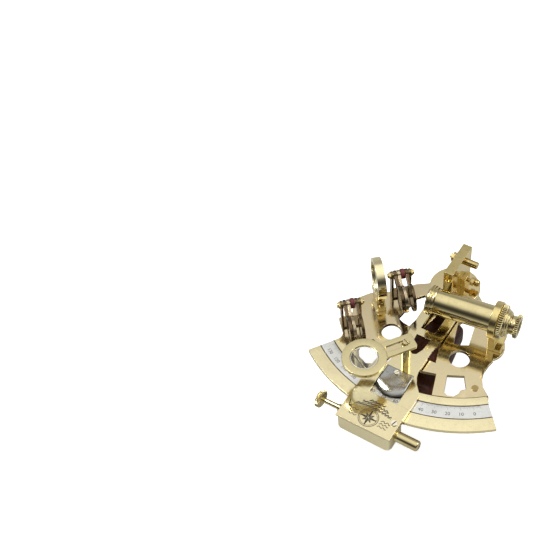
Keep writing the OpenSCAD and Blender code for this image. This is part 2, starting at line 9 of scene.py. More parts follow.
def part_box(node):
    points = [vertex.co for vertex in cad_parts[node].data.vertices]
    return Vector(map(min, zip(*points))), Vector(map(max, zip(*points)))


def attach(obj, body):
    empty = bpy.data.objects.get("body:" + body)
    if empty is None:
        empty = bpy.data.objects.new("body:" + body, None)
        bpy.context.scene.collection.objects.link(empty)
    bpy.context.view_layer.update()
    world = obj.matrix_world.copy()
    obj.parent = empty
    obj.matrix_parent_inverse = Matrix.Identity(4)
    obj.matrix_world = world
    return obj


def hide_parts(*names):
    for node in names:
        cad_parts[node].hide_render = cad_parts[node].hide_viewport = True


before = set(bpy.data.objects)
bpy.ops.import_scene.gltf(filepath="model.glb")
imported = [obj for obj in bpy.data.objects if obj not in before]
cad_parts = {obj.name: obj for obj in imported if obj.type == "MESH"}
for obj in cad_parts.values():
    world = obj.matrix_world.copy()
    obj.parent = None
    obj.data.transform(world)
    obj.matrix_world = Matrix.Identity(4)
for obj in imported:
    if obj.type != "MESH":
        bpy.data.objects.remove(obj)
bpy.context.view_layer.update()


# ---- Frame casting ----------------------------------------------------------
# One flat brass casting: a sunk web with windows and a raised limb, filed, polished and lacquered.
# The web is a little redder than the limb, the seams are painted dark (painted shade and dirt in the step at
# the limb's inner edge, dirt in the grooves along the silver strip), and every edge is broken.
MM = 0.001
limb_inner_r, strip_inner_r, strip_outer_r = 63.3, 68.2, 75.0
arm_angle = math.radians(-2.7)
BRASS = (0.76, 0.62, 0.28, 1)
PALE_BRASS = (0.89, 0.79, 0.48, 1)
WEB_BRASS = (0.70, 0.575, 0.35, 1)
BROWN_BRASS = (0.32, 0.22, 0.08, 1)


def effect(name, takes, gives):
    """An empty shader node group with the named inputs (name, kind, value) and outputs."""
    group = bpy.data.node_groups.new(name, "ShaderNodeTree")
    for label, kind, value in takes:
        socket = group.interface.new_socket(label, in_out="INPUT", socket_type="NodeSocket" + kind)
        socket.default_value = value
    for label, kind in gives:
        group.interface.new_socket(label, in_out="OUTPUT", socket_type="NodeSocket" + kind)
    return group, group.nodes.new("NodeGroupInput"), group.nodes.new("NodeGroupOutput")


def put(tree, kind, *feeds, **settings):
    """Adds a node, sets its properties, and feeds each (input, value or output socket) to it."""
    node = tree.nodes.new("ShaderNode" + kind)
    for key, value in settings.items():
        setattr(node, key, value)
    for key, value in feeds:
        if isinstance(value, bpy.types.NodeSocket):
            tree.links.new(value, node.inputs[key])
        else:
            node.inputs[key].default_value = value
    return node


def sums(tree, operation, *values):
    """A maths node on plain numbers or sockets."""
    return put(tree, "Math", *enumerate(values), operation=operation).outputs[0]


def blended(tree, amount, a, b):
    """Colour a going to colour b as amount goes from 0 to 1."""
    node = put(tree, "Mix", data_type="RGBA")
    for index, value in ((0, amount), (6, a), (7, b)):
        if isinstance(value, bpy.types.NodeSocket):
            tree.links.new(value, node.inputs[index])
        else:
            node.inputs[index].default_value = value
    return node.outputs[2]


def ramped(tree, value, low, high, to_low=0.0, to_high=1.0):
    """Value mapped from low..high to to_low..to_high along a smooth step."""
    node = put(tree, "MapRange", ("Value", value), interpolation_type="SMOOTHSTEP")
    for key, number in (("From Min", low), ("From Max", high), ("To Min", to_low), ("To Max", to_high)):
        node.inputs[key].default_value = number
    return node.outputs[0]


# Handled metal: broad cloudy tarnish, small mottling, and fine scratches left by the buffing.
handled_metal, g_in, g_out = effect(
    "handled_metal",
    [("Vector", "Vector", (0, 0, 0)), ("Bright", "Color", BRASS), ("Dull", "Color", BROWN_BRASS),
     ("Tarnish", "Float", 0.4), ("Gloss", "Float", 0.12), ("Haze", "Float", 0.1)],
    [("Colour", "Color"), ("Roughness", "Float"), ("Height", "Float")],
)
cloud = put(handled_metal, "TexNoise", ("Vector", g_in.outputs["Vector"]), ("Scale", 85.0), ("Detail", 3.0))
speck = put(handled_metal, "TexNoise", ("Vector", g_in.outputs["Vector"]), ("Scale", 620.0), ("Detail", 5.0))
swept = put(handled_metal, "VectorMath", (0, g_in.outputs["Vector"]), (1, (3600, 420, 2400)),
            operation="MULTIPLY")
hair = put(handled_metal, "TexNoise", ("Vector", swept.outputs[0]), ("Scale", 1.0), ("Detail", 2.0))
stain = sums(handled_metal, "MULTIPLY", ramped(handled_metal, cloud.outputs["Fac"], 0.42, 0.72), 0.6)
fleck = sums(handled_metal, "MULTIPLY", ramped(handled_metal, speck.outputs["Fac"], 0.5, 0.72), 0.5)
dirt = sums(handled_metal, "MULTIPLY", sums(handled_metal, "ADD", stain, fleck), g_in.outputs["Tarnish"])
handled_metal.links.new(blended(handled_metal, dirt, g_in.outputs["Bright"], g_in.outputs["Dull"]),
                        g_out.inputs["Colour"])
worn = sums(handled_metal, "ADD", dirt, hair.outputs["Fac"])
hazed = sums(handled_metal, "MULTIPLY", worn, g_in.outputs["Haze"])
handled_metal.links.new(sums(handled_metal, "ADD", hazed, g_in.outputs["Gloss"]), g_out.inputs["Roughness"])
half_hair = sums(handled_metal, "MULTIPLY", hair.outputs["Fac"], 0.5)
handled_metal.links.new(sums(handled_metal, "ADD", speck.outputs["Fac"], half_hair), g_out.inputs["Height"])


def metal(name, bright, dull, gloss, tarnish=0.35, haze=0.08, relief=0.35, lines=None):
    """A metal finish on the handled_metal group. Lines = (group, its inputs) adds fine tool lines."""
    made = bpy.data.materials.new(name)
    made.use_nodes = True
    tree = made.node_tree
    shader = tree.nodes["Principled BSDF"]
    shader.inputs["Metallic"].default_value = 1.0
    where = put(tree, "TexCoord").outputs["Object"]
    tone = put(tree, "Group", node_tree=handled_metal)
    tree.links.new(where, tone.inputs["Vector"])
    for key, value in (("Bright", bright), ("Dull", dull), ("Tarnish", tarnish), ("Gloss", gloss),
                       ("Haze", haze)):
        tone.inputs[key].default_value = value
    height = tone.outputs["Height"]
    if lines:
        tool = put(tree, "Group", ("Vector", where), *lines[1], node_tree=lines[0])
        height = sums(tree, "ADD", height, tool.outputs["Height"])
    bump = put(tree, "Bump", ("Strength", relief), ("Distance", 3e-5), ("Height", height))
    tree.links.new(tone.outputs["Colour"], shader.inputs["Base Color"])
    tree.links.new(tone.outputs["Roughness"], shader.inputs["Roughness"])
    tree.links.new(bump.outputs[0], shader.inputs["Normal"])
    return made


def seated(piece, body, slot, finish, *nodes):
    """Gives a piece its finish, sets it on its body, and lets it stand for its CAD nodes."""
    piece.data.materials.clear()
    piece.data.materials.append(finish)
    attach(piece, body)
    if nodes:
        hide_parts(*nodes)
    return piece


def dressed(node, body, slot, finish, edge=0.18):
    """A copy of a CAD node: triangles joined, flat faces made whole, edges broken by edge mm."""
    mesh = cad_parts[node].data.copy()
    shape = bmesh.new()
    shape.from_mesh(mesh)
    bmesh.ops.remove_doubles(shape, verts=shape.verts, dist=2e-6)
    bmesh.ops.dissolve_limit(shape, angle_limit=math.radians(0.4), verts=shape.verts, edges=shape.edges)
    bmesh.ops.triangulate(shape, faces=[f for f in shape.faces if len(f.verts) > 64])
    for face in shape.faces:
        face.smooth = True
    shape.to_mesh(mesh)
    shape.free()
    piece = bpy.data.objects.new(node + "_finished", mesh)
    bpy.context.scene.collection.objects.link(piece)
    if edge:
        bevel = piece.modifiers.new("broken_edge", "BEVEL")
        bevel.width = edge * MM
        bevel.segments = 2
        bevel.limit_method = "ANGLE"
        bevel.angle_limit = math.radians(34)
        bevel.use_clamp_overlap = False
    piece.modifiers.new("flat_faces", "WEIGHTED_NORMAL").keep_sharp = True
    return seated(piece, body, slot, finish, node)


frame_brass = metal("frame_brass", PALE_BRASS, WEB_BRASS, 0.07, 0.4)
tree = frame_brass.node_tree
where = tree.nodes["Texture Coordinate"].outputs["Object"]
flat = put(tree, "VectorMath", (0, where), (1, (1, 1, 0)), operation="MULTIPLY")
radius = put(tree, "VectorMath", (0, flat.outputs[0]), operation="LENGTH")
in_web = sums(tree, "LESS_THAN", radius.outputs["Value"], (limb_inner_r - 0.2) * MM)
tone = next(n for n in tree.nodes if n.type == "GROUP")
shader = tree.nodes["Principled BSDF"]
web_colour = blended(tree, sums(tree, "MULTIPLY", in_web, 0.75), tone.outputs["Colour"], WEB_BRASS)
# Near-black rings painted into the colour along the seams: painted shade and dirt in the step at the limb's
# inner edge, dirt in the grooves along both edges of the silver strip.
SEAM_DIRT_AND_SHADE = (0.045, 0.028, 0.016, 1)
seams = 0.0
for seam_r, seam_w in ((limb_inner_r, 0.42), (strip_inner_r, 0.6), (strip_outer_r, 0.6)):
    off = sums(tree, "ABSOLUTE", sums(tree, "SUBTRACT", radius.outputs["Value"], seam_r * MM))
    seam = ramped(tree, off, seam_w * 0.7 * MM, seam_w * MM, 1.0, 0.0)
    seams = sums(tree, "MAXIMUM", seams, seam)
tree.links.new(blended(tree, sums(tree, "MULTIPLY", seams, 0.92), web_colour, SEAM_DIRT_AND_SHADE),
               shader.inputs["Base Color"])
tree.links.new(sums(tree, "ADD", tone.outputs["Roughness"], sums(tree, "MULTIPLY", seams, 0.4)),
               shader.inputs["Roughness"])
dressed("frame", "frame", "brass", frame_brass, 0.14)


# ---- Silver arc -------------------------------------------------------------
# A strip of silver let into a groove of the limb, grained along the arc and divided every degree
# of reading, which is half a degree of the arc. The cuts and figures are filled with black wax.
SILVER = (0.80, 0.80, 0.76, 1)
DULL_SILVER = (0.50, 0.49, 0.43, 1)
strip_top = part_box("arc_scale")[1].z / MM
cut_below, cut_above = 0.05, 0.02
tick_inner_r, tick_short, tick_middle, tick_long, tick_w = strip_inner_r + 0.15, 1.0, 1.5, 2.1, 0.09
figure_r, figure_size, figure_last = 72.6, 2.5, 130
reading_start, reading_end, zero_angle = -5, 135, 31.6

# Tool lines run round an axis: the height is a fine noise of the distance along the axis plus the
# distance from it. The group also gives both distances.
tool_lines, g_in, g_out = effect(
    "tool_lines",
    [("Vector", "Vector", (0, 0, 0)), ("Centre", "Vector", (0, 0, 0)), ("Axis", "Vector", (0, 0, 1)),
     ("Density", "Float", 5000.0), ("Depth", "Float", 1.0)],
    [("Height", "Float"), ("Along", "Float"), ("Radius", "Float")],
)
offset = put(tool_lines, "VectorMath", (0, g_in.outputs["Vector"]), (1, g_in.outputs["Centre"]),
             operation="SUBTRACT")
along = put(tool_lines, "VectorMath", (0, offset.outputs[0]), (1, g_in.outputs["Axis"]),
            operation="DOT_PRODUCT")
shaft = put(tool_lines, "VectorMath", (0, g_in.outputs["Axis"]), ("Scale", along.outputs["Value"]),
            operation="SCALE")
spoke = put(tool_lines, "VectorMath", (0, offset.outputs[0]), (1, shaft.outputs[0]), operation="SUBTRACT")
spoke_length = put(tool_lines, "VectorMath", (0, spoke.outputs[0]), operation="LENGTH")
travelled = sums(tool_lines, "ADD", along.outputs["Value"], spoke_length.outputs["Value"])
line = put(tool_lines, "TexNoise", ("W", sums(tool_lines, "MULTIPLY", travelled, g_in.outputs["Density"])),
           ("Scale", 1.0), ("Detail", 2.0), noise_dimensions="1D")
height = sums(tool_lines, "MULTIPLY", line.outputs["Fac"], g_in.outputs["Depth"])
tool_lines.links.new(height, g_out.inputs["Height"])
tool_lines.links.new(along.outputs["Value"], g_out.inputs["Along"])
tool_lines.links.new(spoke_length.outputs["Value"], g_out.inputs["Radius"])

arc_silver = metal("arc_silver", SILVER, DULL_SILVER, 0.26, 0.45, 0.12, 0.5,
                   (tool_lines, [("Density", 7000.0), ("Depth", 1.2)]))
dressed("arc_scale", "frame", "silver", arc_silver, 0.08)

wax = bpy.data.materials.new("black_wax")
wax.use_nodes = True
tree = wax.node_tree
shader = tree.nodes["Principled BSDF"]
crumb = put(tree, "TexNoise", ("Vector", put(tree, "TexCoord").outputs["Object"]), ("Scale", 2500.0))
tree.links.new(blended(tree, crumb.outputs["Fac"], (0.012, 0.010, 0.008, 1), (0.07, 0.055, 0.035, 1)),
               shader.inputs["Base Color"])
tree.links.new(ramped(tree, crumb.outputs["Fac"], 0.3, 0.7, 0.45, 0.8), shader.inputs["Roughness"])


def piece_of(name, points, faces, smooth=True):
    """An object from points in mm and faces of point numbers, shaded smooth or flat."""
    mesh = bpy.data.meshes.new(name)
    mesh.from_pydata(np.asarray(points, float) * MM, [], np.asarray(faces).tolist())
    mesh.polygons.foreach_set("use_smooth", np.full(len(mesh.polygons), smooth))
    mesh.update()
    piece = bpy.data.objects.new(name, mesh)
    bpy.context.scene.collection.objects.link(piece)
    return piece


def bars(starts, ends, width, top):
    """Filled cuts from start to end in a face at height top: each corner is an end point plus or minus
    half the width across, a little below and above the face. Gives the points and the faces."""
    starts, ends = np.asarray(starts, float), np.asarray(ends, float)
    run = ends - starts
    side = np.stack([-run[:, 1], run[:, 0]], 1) / np.linalg.norm(run, axis=1)[:, None] * width / 2
    ring = np.stack([starts - side, ends - side, ends + side, starts + side], 1)
    count = len(ring)
    levels = [np.full((count, 4), top + step) for step in (-cut_below, cut_above)]
    points = np.concatenate([np.dstack([ring, level]) for level in levels], 1)
    box_faces = np.array([[0, 3, 2, 1], [4, 5, 6, 7], [0, 1, 5, 4], [1, 2, 6, 5], [2, 3, 7, 6], [3, 0, 4, 7]])
    faces = (box_faces[None] + 8 * np.arange(count)[:, None, None]).reshape(-1, 4)
    return points.reshape(-1, 3), faces


def on_arc(radius, angle):
    """The point at that radius, angle degrees round from -Y towards +X."""
    turn = np.radians(angle)
    return np.stack([radius * np.sin(turn), -radius * np.cos(turn)], -1)


def joined(parts):
    """Several (points, faces) sets as one."""
    starts = np.cumsum([0] + [len(points) for points, _ in parts[:-1]])
    faces = [face for start, (_, group) in zip(starts, parts)
             for face in (np.asarray(group) + start).tolist()]
    return np.concatenate([points for points, _ in parts]), faces


readings = np.arange(reading_start, reading_end + 1)
tick_angle = zero_angle - readings / 2
tick_length = np.where(readings % 10 == 0, tick_long, np.where(readings % 5 == 0, tick_middle, tick_short))
bend = np.linspace(tick_angle[0], tick_angle[-1], 160)
base_line = on_arc(tick_inner_r, bend)
tick_starts, tick_ends = on_arc(tick_inner_r, tick_angle), on_arc(tick_inner_r + tick_length, tick_angle)
cuts = [bars(tick_starts, tick_ends, tick_w, strip_top), bars(base_line[:-1], base_line[1:], 0.07, strip_top)]
seated(piece_of("arc_divisions", *joined(cuts), smooth=False), "frame", "silver", wax)


def figures(name, text, size, place, turn, top):
    """Engraved figures as a thin flat mesh: their filled outlines, turned about Z and set at place."""
    curve = bpy.data.curves.new(name, "FONT")
    curve.body = text
    curve.size = size * MM
    curve.align_x = "CENTER"
    curve.align_y = "CENTER"
    curve.extrude = 0.03 * MM
    curve.resolution_u = 3
    letters = bpy.data.objects.new(name + "_letters", curve)
    bpy.context.scene.collection.objects.link(letters)
    bpy.context.view_layer.update()
    mesh = bpy.data.meshes.new_from_object(letters.evaluated_get(bpy.context.evaluated_depsgraph_get()))
    bpy.data.objects.remove(letters)
    mesh.transform(Matrix.Translation(Vector((*place, top)) * MM) @ Matrix.Rotation(turn, 4, "Z"))
    cut = bpy.data.objects.new(name, mesh)
    bpy.context.scene.collection.objects.link(cut)
    return cut


for reading in range(0, figure_last + 1, 10):
    angle = zero_angle - reading / 2
    cut = figures(f"arc_figure_{reading}", str(reading), figure_size, on_arc(figure_r, angle),
                  math.radians(angle), strip_top)
    seated(cut, "frame", "silver", wax)


# ---- Axle, bush and nut -----------------------------------------------------
# A steel axle turns in a bronze bush under the arm's round end. A hexagonal nut on a plain collar
# holds it from below.
chrome = metal("bright_plate", (0.80, 0.81, 0.82, 1), (0.45, 0.44, 0.42, 1), 0.06, 0.3)
bronze = metal("bearing_bronze", (0.58, 0.36, 0.16, 1), (0.26, 0.14, 0.06, 1), 0.24, 0.5,
               lines=(tool_lines, [("Depth", 0.8)]))
brass = metal("polished_brass", BRASS, BROWN_BRASS, 0.07, 0.42)
dressed("axle", "index_arm", "chrome", chrome, 0.25)
dressed("axle_bush", "frame", "bronze", bronze, 0.15)
dressed("axle_nut", "index_arm", "brass", brass, 0.2)


# ---- Feet -------------------------------------------------------------------
# Three turned brass feet, waisted and cupped at the sole. The middle one hangs under the boss and
# the two slim ones are screwed up into the web.
def gridded(name, points, loop_rows=False, loop_columns=False):
    """A surface through a grid of points: each cell between neighbouring rows and columns is one face.
    Rows or columns may close into a loop; doubled points are merged and the faces turned outwards."""
    rows, columns = points.shape[:2]
    number = np.arange(rows * columns).reshape(rows, columns)
    if loop_rows:
        number = np.vstack([number, number[:1]])
    if loop_columns:
        number = np.hstack([number, number[:, :1]])
    faces = np.stack([number[:-1, :-1], number[1:, :-1], number[1:, 1:], number[:-1, 1:]], -1).reshape(-1, 4)
    piece = piece_of(name, points.reshape(-1, 3), faces)
    shape = bmesh.new()
    shape.from_mesh(piece.data)
    bmesh.ops.remove_doubles(shape, verts=shape.verts, dist=1e-6)
    bmesh.ops.delete(shape, geom=[e for e in shape.edges if not e.link_faces], context="EDGES")
    bmesh.ops.recalc_face_normals(shape, faces=shape.faces)
    shape.to_mesh(piece.data)
    shape.free()
    return piece


def eased(profile, ease):
    """A closed outline with each corner cut back by ease and replaced by a parabola through the cuts."""
    corner = np.asarray(profile, float)
    before, after = np.roll(corner, 1, 0) - corner, np.roll(corner, -1, 0) - corner
    long_before, long_after = np.linalg.norm(before, axis=1), np.linalg.norm(after, axis=1)
    cut = np.minimum(ease, 0.45 * np.minimum(long_before, long_after)) * (corner[:, 1] > 0)
    start = corner + before * (cut / long_before)[:, None]
    end = corner + after * (cut / long_after)[:, None]
    t = np.linspace(0, 1, 4)[None, :, None]
    curve = (1 - t) ** 2 * start[:, None] + 2 * t * (1 - t) * corner[:, None] + t ** 2 * end[:, None]
    return curve.reshape(-1, 2)


def turned(name, profile, middle, axis, ease=0.15, teeth=0, depth=0.0, rim=1e3, pitch=None, around=96):
    """A closed profile of (distance along the axis, radius) swept round the axis. Where the radius is
    above rim it is lowered by depth times a cosine wave of the angle, teeth times round, which a
    pitch winds along the axis into a thread."""
    outline = eased(profile, ease) if ease else np.asarray(profile, float)
    angle = np.linspace(0, 2 * np.pi, around, endpoint=False)[None, :]
    x, r = outline[:, :1], outline[:, 1:]
    phase = teeth * angle + (2 * np.pi * x / pitch if pitch else 0)
    r = r - depth * np.clip((r - rim) / 0.1, 0, 1) * (0.5 - 0.5 * np.cos(phase))
    axis = np.asarray(axis, float) / np.linalg.norm(axis)
    across = np.cross(axis, (0, 0, 1) if abs(axis[2]) < 0.9 else (1, 0, 0))
    across /= np.linalg.norm(across)
    upward = np.cross(axis, across)
    points = (np.asarray(middle, float) + x[..., None] * axis
              + (r * np.cos(angle))[..., None] * across + (r * np.sin(angle))[..., None] * upward)
    piece = gridded(name, points, loop_rows=True, loop_columns=True)
    piece.modifiers.new("flat_faces", "WEIGHTED_NORMAL")
    return piece


def box_mm(node):
    """A CAD node's lowest and highest corner in mm."""
    low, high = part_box(node)
    return np.array(low) / MM, np.array(high) / MM


low, high = box_mm("centre_foot")
foot_height = high[2]
cup_r = (high[0] - low[0]) / 2
foot_profile = [(0, 0), (0.35, 2.6), (0, 3.6), (0.4, 4.3), (1.4, 4.55), (2.6, 3.3), (4.6, 2.75), (7.6, 2.9),
                (9.4, cup_r - 0.5), (10.2, cup_r), (foot_height - 1.2, cup_r), (foot_height, cup_r - 0.2),
                (foot_height, 0)]
foot_brass = metal("turned_brass", BRASS, BROWN_BRASS, 0.13, 0.4,
                   lines=(tool_lines, [("Density", 3500.0), ("Depth", 0.9)]))
centre_foot = turned("centre_foot_turned", foot_profile, (0, 0, 0), (0, 0, 1), 0.5)
seated(centre_foot, "frame", "brass", foot_brass, "centre_foot")
low, high = box_mm("front_feet")
post_height, collar_r = high[2], 3.4
foot_x, foot_y = high[0] - collar_r, (low[1] + high[1]) / 2
post_profile = [(0, 0), (0.3, 1.8), (0, 2.5), (0.5, 3.15), (1.5, 3.2), (2.9, 2.1), (6, 1.65), (10, 1.7),
                (13, 2.1), (13.6, 2.1), (14.4, 1.8), (18.4, 1.9), (post_height - 3, collar_r - 0.1),
                (post_height, collar_r), (post_height, 0)]
for side, label in ((-1, "left"), (1, "right")):
    foot = turned(label + "_foot_turned", post_profile, (side * foot_x, foot_y, 0), (0, 0, 1), 0.4)
    seated(foot, "frame", "brass", foot_brass, *(["front_feet"] if side > 0 else []))


# ---- Frame screws -----------------------------------------------------------
# The riveted ends of the front feet show on top of the web, nearly flush, and two slotted screws
# hold the telescope's bracket from below.
dull_brass = metal("dull_brass", (0.50, 0.37, 0.16, 1), (0.20, 0.13, 0.05, 1), 0.26, 0.6)
dressed("frame_screws", "frame", "dark_brass", dull_brass, 0.08)


# ---- Handle -----------------------------------------------------------------
# A block of mahogany with rounded edges, wider at its low end, oiled and waxed. It hangs under the
# web on two brass blocks, each held by a screw that is sunk in the underside.
low, high = box_mm("handle")
handle_half_low, handle_half_high, handle_round = high[0], 10.2, 3.2
handle_middle_z, handle_half_z = (low[2] + high[2]) / 2, (high[2] - low[2]) / 2
squareness, end_squareness = 4.6, 2.4


def handle_block(name, rows=73, columns=96):
    """Cross-sections along Y: each is a superellipse |x/w|^n + |z/h|^n = 1 with n the squareness and a
    half width w that grows in a line along the handle. Towards both ends w and h shrink along a quarter
    superellipse of the end squareness."""
    s = np.linspace(-1, 1, rows)
    s = np.sign(s) * (1 - (1 - np.abs(s)) ** 2)
    length = (high[1] - low[1]) / 2
    y = (low[1] + high[1]) / 2 + s * length
    share = (high[1] - y) / (high[1] - low[1])
    near_end = np.clip((np.abs(s) * length - length + handle_round) / handle_round, 0, 1)
    inset = handle_round * (1 - (1 - near_end ** end_squareness) ** (1 / end_squareness))
    width = handle_half_high + (handle_half_low - handle_half_high) * share - inset
    height = handle_half_z - inset
    a = np.linspace(0, 2 * np.pi, columns, endpoint=False)
    cx, cz = (np.sign(f) * np.abs(f) ** (2 / squareness) for f in (np.cos(a), np.sin(a)))
    points = np.stack([width[:, None] * cx, np.repeat(y[:, None], columns, 1),
                       handle_middle_z + height[:, None] * cz], -1)
    ends = points[[0, -1]].mean(1, keepdims=True).repeat(columns, 1)
    return gridded(name, np.concatenate([ends[:1], points, ends[1:]]), loop_columns=True)


mahogany = bpy.data.materials.new("waxed_mahogany")
mahogany.use_nodes = True
tree = mahogany.node_tree
shader = tree.nodes["Principled BSDF"]
where = put(tree, "TexCoord").outputs["Object"]
stretched = put(tree, "VectorMath", (0, where), (1, (420, 34, 420)), operation="MULTIPLY")
wander = put(tree, "TexNoise", ("Vector", where), ("Scale", 60.0), ("Detail", 2.0))
bent = put(tree, "VectorMath", (0, stretched.outputs[0]), (1, wander.outputs["Color"]), operation="ADD")
rings = put(tree, "TexNoise", ("Vector", bent.outputs[0]), ("Scale", 0.75), ("Detail", 6.0),
            ("Roughness", 0.62))
pore_room = put(tree, "VectorMath", (0, where), (1, (3800, 190, 3800)), operation="MULTIPLY")
pores = put(tree, "TexNoise", ("Vector", pore_room.outputs[0]), ("Scale", 1.0), ("Detail", 2.0))
grain = ramped(tree, rings.outputs["Fac"], 0.32, 0.68)
pore = ramped(tree, pores.outputs["Fac"], 0.56, 0.68)
tree.links.new(blended(tree, sums(tree, "MULTIPLY", pore, 0.7),
                       blended(tree, grain, (0.030, 0.0075, 0.0045, 1), (0.115, 0.030, 0.015, 1)),
                       (0.010, 0.004, 0.003, 1)), shader.inputs["Base Color"])
tree.links.new(sums(tree, "ADD", sums(tree, "MULTIPLY", pore, 0.25), 0.42), shader.inputs["Roughness"])
shader.inputs["Coat Weight"].default_value = 0.12
shader.inputs["Coat Roughness"].default_value = 0.22
shader.inputs["Specular IOR Level"].default_value = 0.3
bump = put(tree, "Bump", ("Strength", 0.5), ("Distance", 4e-5),
           ("Height", sums(tree, "SUBTRACT", sums(tree, "MULTIPLY", grain, 0.3), pore)))
tree.links.new(bump.outputs[0], shader.inputs["Normal"])
seated(handle_block("handle_block"), "frame", "mahogany", mahogany, "handle")
dressed("handle_brackets", "frame", "brass", brass, 0.25)
dressed("handle_screws", "frame", "brass", dull_brass, 0.08)


# ---- Telescope bracket ------------------------------------------------------
# A cast and filed brass upright with a round eye that the telescope's tube is pressed through, its
# small foot screwed to the ear of the web.
dressed("telescope_bracket", "frame", "brass", brass, 0.22)


# ---- Telescope tube and objective -------------------------------------------
# A drawn brass tube, polished in the lathe, with a grooved cell screwed on its far end that holds
# the object glass.
scope_angle = math.radians(4.2)
scope_axis = (math.cos(scope_angle), math.sin(scope_angle), 0)


def on_axis(node, axis):
    """Middle, half length and radius of a turned node that lies level along the axis, from its box."""
    low, high = box_mm(node)
    size = high - low
    r = size[2] / 2
    half = (size[0] / 2 - r * abs(axis[1])) / abs(axis[0])
    return (low + high) / 2, half, r


tube_brass = metal("tube_brass", (0.70, 0.60, 0.32, 1), BROWN_BRASS, 0.05, 0.3, 0.05, 0.2,
                   lines=(tool_lines, [("Axis", scope_axis), ("Density", 2600.0), ("Depth", 0.5)]))


# Near black painted into the grooves of knurls as painted shade.
KNURL_GROOVE_SHADE = (0.045, 0.026, 0.010, 1)


def knurled(name, middle, axis, first, last, rim, deep):
    """Brass with painted shade in the grooves of a knurl: the colour darkens from the rim to deep mm below
    it, between first and last mm along the axis from the middle."""
    centre = tuple(c * MM for c in middle)
    made = metal(name, (0.80, 0.69, 0.38, 1), BROWN_BRASS, 0.07, 0.3, 0.05, 0.3,
                 lines=(tool_lines, [("Centre", centre), ("Axis", axis), ("Density", 2600.0)]))
    tree = made.node_tree
    tool = next(n for n in tree.nodes if n.type == "GROUP" and n.node_tree == tool_lines)
    shader = tree.nodes["Principled BSDF"]
    unshaded = shader.inputs["Base Color"].links[0].from_socket
    # The painted shade is darkest deep in the grooves and fades out towards the rim.
    sunk = ramped(tree, tool.outputs["Radius"], (rim - deep) * MM, (rim - deep / 4) * MM, 0.9, 0.0)
    off_band = sums(tree, "ABSOLUTE", sums(tree, "SUBTRACT", tool.outputs["Along"], (first + last) / 2 * MM))
    on_band = ramped(tree, off_band, (last - first) / 2 * MM - 1e-4, (last - first) / 2 * MM, 1.0, 0.0)
    tree.links.new(blended(tree, sums(tree, "MULTIPLY", sunk, on_band), unshaded, KNURL_GROOVE_SHADE),
                   shader.inputs["Base Color"])
    return made


middle, half, r = on_axis("telescope_tube", scope_axis)
wall = 0.8


def pipe(half, r):
    """The closed profile of a plain tube."""
    return [(-half, r - wall), (-half, r), (half, r), (half, r - wall)]


tube = turned("telescope_tube_turned", pipe(half, r), middle, scope_axis, 0.1, around=128)
seated(tube, "frame", "brass", tube_brass, "telescope_tube")
middle, half, r = on_axis("objective_cell", scope_axis)
bore = r - 2.1
cell = turned("objective_cell_turned",
              [(-half, bore), (-half, r - 0.75), (-half + 0.5, r - 0.1), (-half + 1.15, r),
               (-half + 1.35, r - 0.55), (-half + 1.75, r - 0.55), (-half + 1.95, r - 0.05),
               (-half + 2.4, r - 0.05), (-half + 2.6, r - 0.7), (half - 0.6, r - 0.55), (half, r - 0.9),
               (half, bore), (half - 1.2, bore), (-half + 1.4, bore)],
              middle, scope_axis, 0.1, around=128)
seated(cell, "frame", "brass", tube_brass, "objective_cell")


def glass(name, tint, rough=0.01):
    """Clear or tinted glass with a faint film of dust in the roughness."""
    made = bpy.data.materials.new(name)
    made.use_nodes = True
    tree = made.node_tree
    shader = tree.nodes["Principled BSDF"]
    shader.inputs["Transmission Weight"].default_value = 1.0
    shader.inputs["IOR"].default_value = 1.5
    where = put(tree, "TexCoord").outputs["Object"]
    film = put(tree, "TexNoise", ("Vector", where), ("Scale", 500.0), ("Detail", 3.0))
    tree.links.new(blended(tree, ramped(tree, film.outputs["Fac"], 0.4, 0.8, 0.0, 0.4), tint,
                           tuple(0.86 * part for part in tint[:3]) + (1,)), shader.inputs["Base Color"])
    tree.links.new(ramped(tree, film.outputs["Fac"], 0.35, 0.75, rough, rough + 0.05),
                   shader.inputs["Roughness"])
    return made


def domed(name, node, axis, dome, body, slot, finish):
    """A lens in place of a CAD disc: each face is a parabola of the given rise inside the disc."""
    if abs(axis[2]) > 0.9:
        low, high = box_mm(node)
        middle, half, r = (low + high) / 2, (high[2] - low[2]) / 2, (high[0] - low[0]) / 2
    else:
        middle, half, r = on_axis(node, axis)
    share = np.linspace(0, 1, 14)
    face = half - dome * share ** 2
    front = np.stack([-face, share * r], 1)
    back = np.stack([face[::-1], share[::-1] * r], 1)
    lens = turned(name, np.concatenate([front, back]), middle, axis, ease=0)
    return seated(lens, body, slot, finish, node)


lens_glass = glass("lens_glass", (0.96, 0.985, 0.975, 1))
domed("objective_lens_ground", "objective_lens", scope_axis, 0.7, "frame", "lens", lens_glass)


# ---- Lock ring, collar and eyepiece -----------------------------------------
# A straight-knurled ring locks the tube in the bracket. The eyepiece slides in it: a thin drawn
# tube that ends in a stepped cap with a knurled rim round a small lens.
middle, half, r = on_axis("lock_ring", scope_axis)
draw_bore = 5.0
ring = turned("lock_ring_knurled",
              [(-half, draw_bore), (-half, r - 0.7), (-half + 0.4, r - 0.1), (-half + 0.55, r),
               (half - 0.55, r), (half - 0.4, r - 0.1), (half, r - 0.7), (half, draw_bore)],
              middle, scope_axis, 0.1, teeth=48, depth=0.6, rim=r - 0.6, around=480)
ring_knurl = knurled("lock_ring_brass", middle, scope_axis, -half + 0.4, half - 0.4, r, 0.6)
seated(ring, "frame", "brass", ring_knurl, "lock_ring")
middle, half, r = on_axis("eyepiece_collar", scope_axis)
collar = turned("eyepiece_collar_turned",
                [(-half, draw_bore), (-half, r), (-half + 0.9, r), (-half + 1.1, r - 0.5),
                 (half - 0.5, r - 0.6), (half, r - 1.2), (half, draw_bore)], middle, scope_axis, 0.12)
